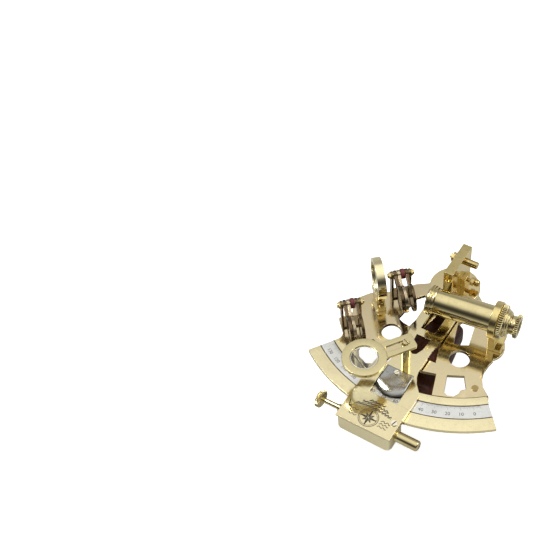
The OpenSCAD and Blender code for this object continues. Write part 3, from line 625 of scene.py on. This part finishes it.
seated(collar, "frame", "brass", tube_brass, "eyepiece_collar")
middle, half, r = on_axis("draw_tube", scope_axis)
draw = turned("draw_tube_turned", pipe(half, r), middle, scope_axis, 0.08)
seated(draw, "eyepiece", "brass", tube_brass, "draw_tube")
middle, half, r = on_axis("eyepiece_cap", scope_axis)
cap_bore = 2.6
cap = turned("eyepiece_cap_knurled",
             [(-half, cap_bore), (-half, r - 1.5), (-half + 0.3, r - 1.25), (-0.3, r - 1.25),
              (0.05, r - 0.35), (0.3, r), (half - 0.5, r), (half - 0.15, r - 0.3), (half, r - 0.9),
              (half, r - 1.6), (half - 0.7, cap_bore + 0.5), (half - 0.9, cap_bore)],
             middle, scope_axis, 0.08, teeth=36, depth=0.42, rim=r - 0.4, around=360)
cap_knurl = knurled("eyepiece_brass", middle, scope_axis, 0.15, half - 0.3, r, 0.42)
seated(cap, "eyepiece", "brass", cap_knurl, "eyepiece_cap")
domed("eye_lens_ground", "eye_lens", scope_axis, 0.35, "eyepiece", "lens", lens_glass)


# ---- Horizon mirror ---------------------------------------------------------
# A round silvered glass in a deep brass ring on a flat stem. The stem stands on a small block on
# the web, which two slotted screws hold, and the ring's front edge is turned to a thin lip.
pale_brass = metal("pale_polished_brass", PALE_BRASS, WEB_BRASS, 0.07, 0.38)
dressed("horizon_base", "frame", "brass", brass, 0.2)
dressed("horizon_ring", "frame", "pale_brass", pale_brass, 0.2)
dressed("horizon_screws", "frame", "dark_brass", dull_brass, 0.1)
mirror = metal("silvered_glass", (0.90, 0.91, 0.90, 1), (0.70, 0.71, 0.70, 1), 0.015, 0.12, 0.02, 0.05)
dressed("horizon_glass", "frame", "mirror", mirror, 0.1)


# ---- Shade brackets, pins and spacers ---------------------------------------
# Each group of shades hangs on a pin between two brass cheeks. Hexagonal nuts close the pin's ends,
# and a spacer of red vulcanised fibre keeps the discs apart.
# Painted reflection: the cheeks' brass is painted dark brown for the dark surroundings that the polished
# cheeks reflect.
cheek_brass_painted_dark = metal("cheek_brass_painted_dark", (0.30, 0.22, 0.11, 1), (0.08, 0.05, 0.025, 1), 0.12, 0.6)
dressed("shade_brackets", "frame", "brass", cheek_brass_painted_dark, 0.14)
dressed("shade_pins", "frame", "brass", brass, 0.12)
fibre = bpy.data.materials.new("red_fibre")
fibre.use_nodes = True
tree = fibre.node_tree
shader = tree.nodes["Principled BSDF"]
where = put(tree, "TexCoord").outputs["Object"]
felted = put(tree, "TexNoise", ("Vector", where), ("Scale", 1400.0), ("Detail", 5.0))
red = blended(tree, ramped(tree, felted.outputs["Fac"], 0.35, 0.68),
              (0.085, 0.010, 0.012, 1), (0.20, 0.030, 0.030, 1))
tree.links.new(red, shader.inputs["Base Color"])
tree.links.new(ramped(tree, felted.outputs["Fac"], 0.3, 0.7, 0.42, 0.62), shader.inputs["Roughness"])
bump = put(tree, "Bump", ("Strength", 0.4), ("Distance", 5e-5), ("Height", felted.outputs["Fac"]))
tree.links.new(bump.outputs[0], shader.inputs["Normal"])
dressed("shade_spacers", "frame", "fibre", fibre, 0.15)


# ---- Shades -----------------------------------------------------------------
# Six discs of dark glass, each burnished into a thin brass rim with a lug that turns on the pin.
# The two groups carry a red, a green and a smoke glass.
# Painted reflection: the rims are one brass, but the first and third of each group are painted dark brown and
# the middle one pale, for the dark and bright bands that their polish reflects.
rim_brass_painted_bright = metal("rim_brass_painted_bright", (0.62, 0.51, 0.33, 1), (0.10, 0.06, 0.04, 1), 0.06, 0.5)
rim_brass_painted_dark = metal("rim_brass_painted_dark", (0.17, 0.115, 0.06, 1), (0.03, 0.02, 0.015, 1), 0.09, 0.5)
shade_glasses = [("red_glass", glass("red_shade_glass", (0.16, 0.012, 0.012, 1))),
                 ("green_glass", glass("green_shade_glass", (0.035, 0.08, 0.03, 1))),
                 ("smoke_glass", glass("smoke_shade_glass", (0.06, 0.045, 0.03, 1)))]
for group in ("index", "horizon"):
    for number, (tint_slot, tint) in enumerate(shade_glasses, 1):
        body = f"{group}_shade_{number}"
        dressed(body, body, "brass", rim_brass_painted_bright if number == 2 else rim_brass_painted_dark, 0.16)
        dressed(f"{group}_shade_glass_{number}", body, tint_slot, tint, 0.08)


# ---- Index arm --------------------------------------------------------------
# A flat pierced brass arm, wide over the limb and narrow in the middle, polished bright, that turns
# on the axle and carries the mirror, the vernier and the tangent box.
arm_brass = metal("arm_brass", (0.80, 0.70, 0.42, 1), WEB_BRASS, 0.08, 0.38)
dressed("index_arm", "index_arm", "pale_brass", arm_brass, 0.12)


# ---- Mirror table -----------------------------------------------------------
# The round table under the index mirror is turned in one piece with a short neck, and its face
# keeps faint rings of the lathe tool.
low, high = box_mm("mirror_table")
table_r = (high[0] - low[0]) / 2
table_low, table_high, axle_hole = low[2], high[2], 3.02
table_lip = table_high - 2.4
table_brass = metal("table_brass", (0.85, 0.70, 0.38, 1), WEB_BRASS, 0.08, 0.3, 0.06, 0.12,
                    lines=(tool_lines, [("Density", 2400.0), ("Depth", 0.8)]))
table = turned("mirror_table_turned",
               [(table_low, axle_hole), (table_low, table_r - 1.1), (table_lip - 0.1, table_r - 1.1),
                (table_lip, table_r - 0.9), (table_lip, table_r - 0.3), (table_lip + 0.3, table_r),
                (table_high - 0.35, table_r), (table_high, table_r - 0.35), (table_high, 0),
                (table_low + 3, 0), (table_low + 2, axle_hole)],
               (0, 0, 0), (0, 0, 1), 0.12, around=160)
seated(table, "index_arm", "brass", table_brass, "mirror_table")


# ---- Index mirror -----------------------------------------------------------
# A rectangular silvered glass in a thick brass frame that stands on the table. A small drilled
# block behind it, a clamp rod with a nut and a headed adjusting bar hold it upright.
dressed("index_mirror_frame", "index_arm", "pale_brass", brass, 0.18)
dressed("index_mirror_glass", "index_arm", "mirror", mirror, 0.15)
dressed("mirror_bracket", "index_arm", "brass", brass, 0.15)
bolt_brass = metal("bolt_brass", (0.58, 0.44, 0.18, 1), BROWN_BRASS, 0.09, 0.5)
dressed("mirror_bolts", "index_arm", "brass", bolt_brass, 0.14)


# ---- Vernier and reflector --------------------------------------------------
# The silver vernier slides just above the arc and is divided to read against it. Above it a bent
# sheet of bright plate throws light on the figures; a slotted screw holds it to the arm.
arm_turn = Matrix.Rotation(arm_angle, 4, "Z")
vernier_silver = metal("vernier_silver", SILVER, DULL_SILVER, 0.22, 0.35, 0.1, 0.5,
                       (tool_lines, [("Density", 7000.0)]))
dressed("vernier", "index_arm", "silver", vernier_silver, 0.06)
low, high = box_mm("vernier")
vernier_top, vernier_r, vernier_steps = high[2], 68.5, 20
vernier_angle = np.linspace(-5.4, 5.4, vernier_steps + 1) + math.degrees(arm_angle)
vernier_length = np.where(np.arange(vernier_steps + 1) % 5 == 0, 2.2, 1.3)
cuts = bars(on_arc(vernier_r, vernier_angle), on_arc(vernier_r - vernier_length, vernier_angle),
            tick_w, vernier_top)
seated(piece_of("vernier_divisions", *cuts, smooth=False), "index_arm", "silver", wax)
for number in range(0, vernier_steps + 1, 10):
    angle = vernier_angle[number]
    cut = figures(f"vernier_figure_{number}", str(number), 1.6, on_arc(vernier_r - 3.3, angle),
                  math.radians(angle), vernier_top)
    seated(cut, "index_arm", "silver", wax)

flange_back, flange_y, lip_y = -57.0, -61.6, -71.6
flange_share, flange_half, flange_z = 0.3, 7.2, 30.75


def reflector_sheet(name, rows=49, columns=29):
    """A sheet over u across (-1..1) and v along (0..1, from the flange's back to the lip). The flange is
    flat. Along the flap, t from 0 to 1, the height falls as t plus a sine trough, its sides rise as u^2,
    and its end curls down as t^5. The lip is a parabola in plan."""
    u = np.linspace(-1, 1, columns)[None, :]
    v = np.linspace(0, 1, rows)[:, None]
    t = np.clip((v - flange_share) / (1 - flange_share), 0, 1)
    half = flange_half + 0.4 * t
    lip = lip_y + 3.0 * u ** 2
    y = np.where(v < flange_share, flange_back + (flange_y - flange_back) * v / flange_share,
                 flange_y + (lip - flange_y) * t)
    z = flange_z - 0.25 * t - 0.1 * np.sin(np.pi * t) - 1.75 * t ** 5 + 0.3 * t * u ** 2
    return gridded(name, np.stack([half * u + 0 * y, y + 0 * u, z + 0 * u], -1))


sheet = reflector_sheet("reflector_sheet")
sheet.data.transform(arm_turn)
if sum(p.normal.z for p in sheet.data.polygons) < 0:
    sheet.data.flip_normals()
thick = sheet.modifiers.new("sheet", "SOLIDIFY")
thick.thickness = 0.4 * MM
thick.offset = 0
worn_plate = metal("worn_plate", (0.40, 0.40, 0.38, 1), (0.20, 0.18, 0.15, 1), 0.15, 0.7, 0.14)
seated(sheet, "index_arm", "chrome", worn_plate, "reflector")


# Near black painted into screw slots and round the feet of the heads as painted shade.
SLOT_SHADE = (0.05, 0.03, 0.012, 1)


def screw_metal(name, bright, level):
    """Bright metal for slotted heads, with painted shade in the slot and round the foot, which lie below a
    level. The level function gives it in metres from the material's tree and its place node."""
    made = metal(name, bright, BROWN_BRASS, 0.09, 0.25)
    tree = made.node_tree
    place = put(tree, "SeparateXYZ", (0, tree.nodes["Texture Coordinate"].outputs["Object"]))
    shader = tree.nodes["Principled BSDF"]
    unshaded = shader.inputs["Base Color"].links[0].from_socket
    above = sums(tree, "SUBTRACT", place.outputs["Z"], level(tree, place))
    # Below the level the colour goes over to the painted shade.
    tree.links.new(blended(tree, ramped(tree, above, -0.04 * MM, 0.04 * MM), SLOT_SHADE, unshaded),
                   shader.inputs["Base Color"])
    return made


def seat_level(tree, place):
    """The slots' level: the cover's screws, beyond y = -80, sit higher than the reflector's."""
    top = box_mm("arm_screws")[1][2]
    return ramped(tree, place.outputs["Y"], -81 * MM, -79 * MM, (top - 0.22) * MM, (top - 0.8) * MM)


silvery_brass = screw_metal("silvery_brass", (0.92, 0.86, 0.66, 1), seat_level)
dressed("arm_screws", "index_arm", "brass", silvery_brass, 0.06)


# ---- Magnifier --------------------------------------------------------------
# A ring with a burnished reading lens on a short slotted arm. It swings on a shouldered post and a
# slotted screw keeps it there.
dressed("magnifier_post", "index_arm", "brass", brass, 0.15)
ring_brass = metal("ring_brass", (0.74, 0.64, 0.35, 1), WEB_BRASS, 0.1, 0.38)
dressed("magnifier_arm", "magnifier", "pale_brass", ring_brass, 0.22)
low, high = box_mm("magnifier_screw")
# The magnifier screw's foot gets the same painted shade.
post_screw_brass = screw_metal("post_screw_brass", (0.74, 0.62, 0.34, 1),
                               lambda tree, place: (low[2] + 0.22) * MM)
screw = dressed("magnifier_screw", "magnifier", "brass", post_screw_brass, 0.08)
screw_seat = Vector(((low[0] + high[0]) / 2, (low[1] + high[1]) / 2, low[2])) * MM
shrink = Matrix.Diagonal((0.84, 0.84, 0.75, 1))
screw.data.transform(Matrix.Translation(screw_seat) @ shrink @ Matrix.Translation(-screw_seat))
domed("magnifier_lens_ground", "magnifier_lens", (0, 0, 1), 0.25, "magnifier", "lens", lens_glass)


# ---- Tangent box and cover --------------------------------------------------
# A cast box round the tangent screw, open above, closed by a flat plate with two screws. The plate
# is engraved with a compass star and rows of waves, filled with black.
cast_brass = metal("cast_brass", (0.97, 0.87, 0.56, 1), WEB_BRASS, 0.34, 0.2)
dressed("tangent_box", "index_arm", "pale_brass", cast_brass, 0.35)
dressed("box_cover", "index_arm", "pale_brass", arm_brass, 0.12)
low, high = box_mm("box_cover")
cover_top = high[2]
star_y, star_r = -88.6, 4.9
line_w = 0.28


def stroke(points, width):
    """A line of constant width through the points, as flat bars laid end to end."""
    points = np.asarray(points, float)
    return bars(points[:-1], points[1:], width, cover_top)


turn = np.linspace(0, 2 * np.pi, 73)
circle = np.stack([np.cos(turn), np.sin(turn)], 1)
centre = np.array([0, star_y])
engraving = [stroke(centre + r * circle, w) for r, w in ((star_r, line_w), (star_r - 0.75, 0.2), (1.2, 0.18))]
ticks = np.linspace(0, 2 * np.pi, 36, endpoint=False)
spokes = np.stack([np.cos(ticks), np.sin(ticks)], 1)
engraving.append(bars(centre + (star_r - 0.6) * spokes, centre + (star_r - 0.1) * spokes, 0.12, cover_top))
for reach, first in ((4.0, 0.0), (2.9, math.pi / 4)):
    for quarter in range(4):
        a = first + quarter * math.pi / 2
        tip = centre + reach * np.array([math.cos(a), math.sin(a)])
        for lean in (-1, 1):
            hip = centre + 1.05 * np.array([math.cos(a + lean * 0.7), math.sin(a + lean * 0.7)])
            engraving.append(stroke([tip, hip], 0.26))
        inner = centre + 0.3 * np.array([math.cos(a), math.sin(a)])
        engraving.append(stroke([inner, tip], 0.55 if reach > 3 else 0.32))
for wave_y, half_width in ((-82.6, 9.5), (-80.9, 7.0), (-79.3, 4.2)):
    x = np.linspace(-half_width, half_width, 90)
    arch = wave_y - 0.012 * x ** 2
    engraving.append(stroke(np.stack([x, arch + 0.42 * np.sin(x * 3.6)], 1), 0.48))
    engraving.append(stroke(np.stack([x, arch - 0.62 + 0.3 * np.sin(x * 3.6 + 0.9)], 1), 0.24))
for side in (-1, 1):
    x = side * np.linspace(6.0, 10.8, 40)
    for level, size in ((-87.2, 0.5), (-88.8, 0.42), (-90.4, 0.34)):
        spread = 1 + 0.02 * (level + 88)
        engraving.append(stroke(np.stack([x * spread, level + size * np.sin(x * 2.9)], 1), 0.34))
star = piece_of("cover_engraving", *joined(engraving), smooth=False)
star.data.transform(arm_turn)
seated(star, "index_arm", "pale_brass", wax)


# ---- Spring barrel ----------------------------------------------------------
# A short brass tube with a domed end on the box's right side. It houses the coil spring that pushes
# the clamp block against the tangent screw.
arm_axis = (math.cos(arm_angle), math.sin(arm_angle), 0)
spring_room = 1.9
middle, half, r = on_axis("spring_barrel", arm_axis)
barrel = turned("spring_barrel_turned",
                [(-half, spring_room), (-half, r - 0.05), (-half + 1.2, r), (half - 0.9, r),
                 (half - 0.35, r - 0.3), (half, r - 1.0), (half, 0), (half - 1, 0), (half - 1, spring_room)],
                middle, arm_axis, 0.25)
seated(barrel, "index_arm", "brass", tube_brass, "spring_barrel")
steel = metal("spring_steel", (0.62, 0.62, 0.62, 1), (0.3, 0.29, 0.27, 1), 0.2, 0.4)
dressed("return_spring", "index_arm", "steel", steel, 0)


# ---- Tangent screw and its knob ---------------------------------------------
# A fine-threaded brass screw with a plain collar that turns in the box's wall, and a straight-knurled
# round knob with a shallow turned face.
middle, half, r = on_axis("tangent_screw", arm_axis)
screw_r, screw_pitch = 1.4, 0.8
collar_x = -half + 8.2
thread_x = np.arange(collar_x + 2.6, half - 0.3, 0.09)
plain = [(-half, 0), (-half, screw_r), (collar_x - 0.1, screw_r), (collar_x, r - 0.2), (collar_x + 0.2, r),
         (collar_x + 2.1, r), (collar_x + 2.3, r - 0.2), (collar_x + 2.35, screw_r)]
thread = np.stack([thread_x, np.full(len(thread_x), screw_r)], 1)
profile = np.concatenate([plain, thread, [(half - 0.2, screw_r - 0.3), (half, 0.8), (half, 0)]])
screw = turned("tangent_screw_threaded", profile, middle, arm_axis, ease=0, teeth=1, depth=0.22,
               rim=screw_r - 0.08, pitch=screw_pitch, around=48)
seated(screw, "tangent_screw", "brass", tube_brass, "tangent_screw")
middle, half, r = on_axis("tangent_knob", arm_axis)
knob_face = [(0.25, 0), (0.25, r - 1.6), (0, r - 1.3), (0, r - 0.75), (0.35, r - 0.15), (0.5, r)]
knob = turned("tangent_knob_knurled",
              [(-half + x, y) for x, y in knob_face]
              + [(half - 0.6, r), (half - 0.45, r - 0.15), (half - 0.1, r - 0.75), (half - 0.1, 2.2),
                 (half, 2.1), (half, 0)],
              middle, arm_axis, 0.1, teeth=46, depth=0.32, rim=r - 0.35, around=368)
knob_knurl = knurled("knob_brass", middle, arm_axis, -half + 0.5, half - 0.6, r, 0.34)
seated(knob, "tangent_screw", "brass", knob_knurl, "tangent_knob")


# ---- Clamp block and clamp screw --------------------------------------------
# The block slides in the box and grips the limb from below with a jaw. A knurled thumb screw under
# the jaw locks it to the limb.
dressed("clamp_block", "clamp_block", "brass", brass, 0.2)
low, high = box_mm("clamp_screw")
clamp_middle = ((low[0] + high[0]) / 2, (low[1] + high[1]) / 2, low[2])
clamp_r, clamp_high = (high[0] - low[0]) / 2, high[2] - low[2]
thumb = [(0.25, 0), (0.25, clamp_r - 1.6), (0, clamp_r - 1.3), (0, clamp_r - 0.75), (0.35, clamp_r - 0.15),
         (0.5, clamp_r), (3.4, clamp_r), (3.55, clamp_r - 0.15), (4, clamp_r - 0.8), (4, 2.0), (4.2, screw_r),
         (clamp_high - 0.2, screw_r), (clamp_high, 1.1), (clamp_high, 0)]
clamp_brass = metal("clamp_brass", BRASS, BROWN_BRASS, 0.10, 0.4,
                    lines=(tool_lines, [("Centre", tuple(c * MM for c in clamp_middle))]))
thumb_screw = turned("clamp_screw_knurled", thumb, clamp_middle, (0, 0, 1), 0.1, teeth=46, depth=0.32,
                     rim=clamp_r - 0.35, around=368)
seated(thumb_screw, "clamp_screw", "brass", clamp_brass, "clamp_screw")


# ---- Floor, light and camera ------------------------------------------------
# A plain white floor in a soft studio: a bright ceiling, darker walls that give the brass its
# bands, and two large soft lamps. The polished metal sees the floor greyer than the eye does.
scene = bpy.context.scene
scene.view_settings.view_transform = "Standard"
floor_mesh = bpy.data.meshes.new("floor")
floor_mesh.from_pydata([(-3, -3, 0), (3, -3, 0), (3, 3, 0), (-3, 3, 0)], [], [(0, 1, 2, 3)])
floor = bpy.data.objects.new("floor", floor_mesh)
scene.collection.objects.link(floor)
paper = bpy.data.materials.new("white_paper")
paper.use_nodes = True
tree = paper.node_tree
shader = tree.nodes["Principled BSDF"]
seen = put(tree, "LightPath")
sheet_white, mirrored_grey = (0.88, 0.88, 0.88, 1), (0.54, 0.54, 0.53, 1)
tree.links.new(blended(tree, seen.outputs["Is Glossy Ray"], sheet_white, mirrored_grey),
               shader.inputs["Base Color"])
shader.inputs["Roughness"].default_value = 0.9
shader.inputs["Specular IOR Level"].default_value = 0.0
shader.inputs["Emission Color"].default_value = (1, 1, 1, 1)
glow = sums(tree, "MAXIMUM", seen.outputs["Is Camera Ray"], seen.outputs["Is Transmission Ray"])
tree.links.new(sums(tree, "MULTIPLY", glow, 0.8), shader.inputs["Emission Strength"])
floor_mesh.materials.append(paper)

world = bpy.data.worlds.new("studio")
scene.world = world
world.use_nodes = True
tree = world.node_tree
ray = put(tree, "SeparateXYZ", (0, put(tree, "TexCoord").outputs["Generated"]))


def wall(stops):
    """Brightness against the sine of the elevation."""
    node = put(tree, "ValToRGB", ("Fac", ray.outputs["Z"]))
    ramp = node.color_ramp
    ramp.elements.remove(ramp.elements[1])
    ramp.elements[0].position, ramp.elements[0].color = stops[0][0], (stops[0][1],) * 3 + (1,)
    for place, value in stops[1:]:
        ramp.elements.new(place).color = (value, value, value, 1)
    return node.outputs["Color"]


back_wall = wall([(0, 0.6), (0.3, 0.5), (0.6, 0.42), (0.72, 0.46), (0.77, 0.64), (0.81, 0.88), (0.85, 1.08),
                  (1, 1.25)])
front_wall = wall([(0, 0.35), (0.1, 0.2), (0.3, 0.06), (0.5, 0.06), (0.68, 0.2), (0.82, 0.7), (0.93, 1.1),
                   (1, 1.25)])
lit = blended(tree, ramped(tree, ray.outputs["Y"], -0.25, 0.25), front_wall, back_wall)
tree.links.new(lit, tree.nodes["Background"].inputs["Color"])


def lamp(name, place, size, power):
    """A square soft lamp that looks at the middle of the object."""
    data = bpy.data.lights.new(name, "AREA")
    data.size = size
    data.energy = power
    light = bpy.data.objects.new(name, data)
    light.location = place
    light.rotation_euler = (Vector((0, -0.04, 0.03)) - Vector(place)).to_track_quat("-Z", "Y").to_euler()
    scene.collection.objects.link(light)


lamp("key", (-0.50, -0.14, 0.9), 0.34, 4.5)
lamp("fill", (0.6, 0.35, 0.8), 0.5, 3.0)

camera_data = bpy.data.cameras.new("camera")
camera_data.lens = 69.95
camera_data.sensor_width = 36
camera_data.clip_start = 0.01
camera = bpy.data.objects.new("camera", camera_data)
right, down, forward = (Vector(v).normalized() for v in
                        ((0.8549, 0.5106, -0.0922), (0.3361, -0.6804, -0.6513), (-0.3953, 0.5258, -0.7532)))
facing = Matrix((right, -down, -forward)).transposed().to_4x4()
camera.matrix_world = Matrix.Translation((0.1236, -0.3209, 0.4494)) @ facing
scene.collection.objects.link(camera)
scene.camera = camera
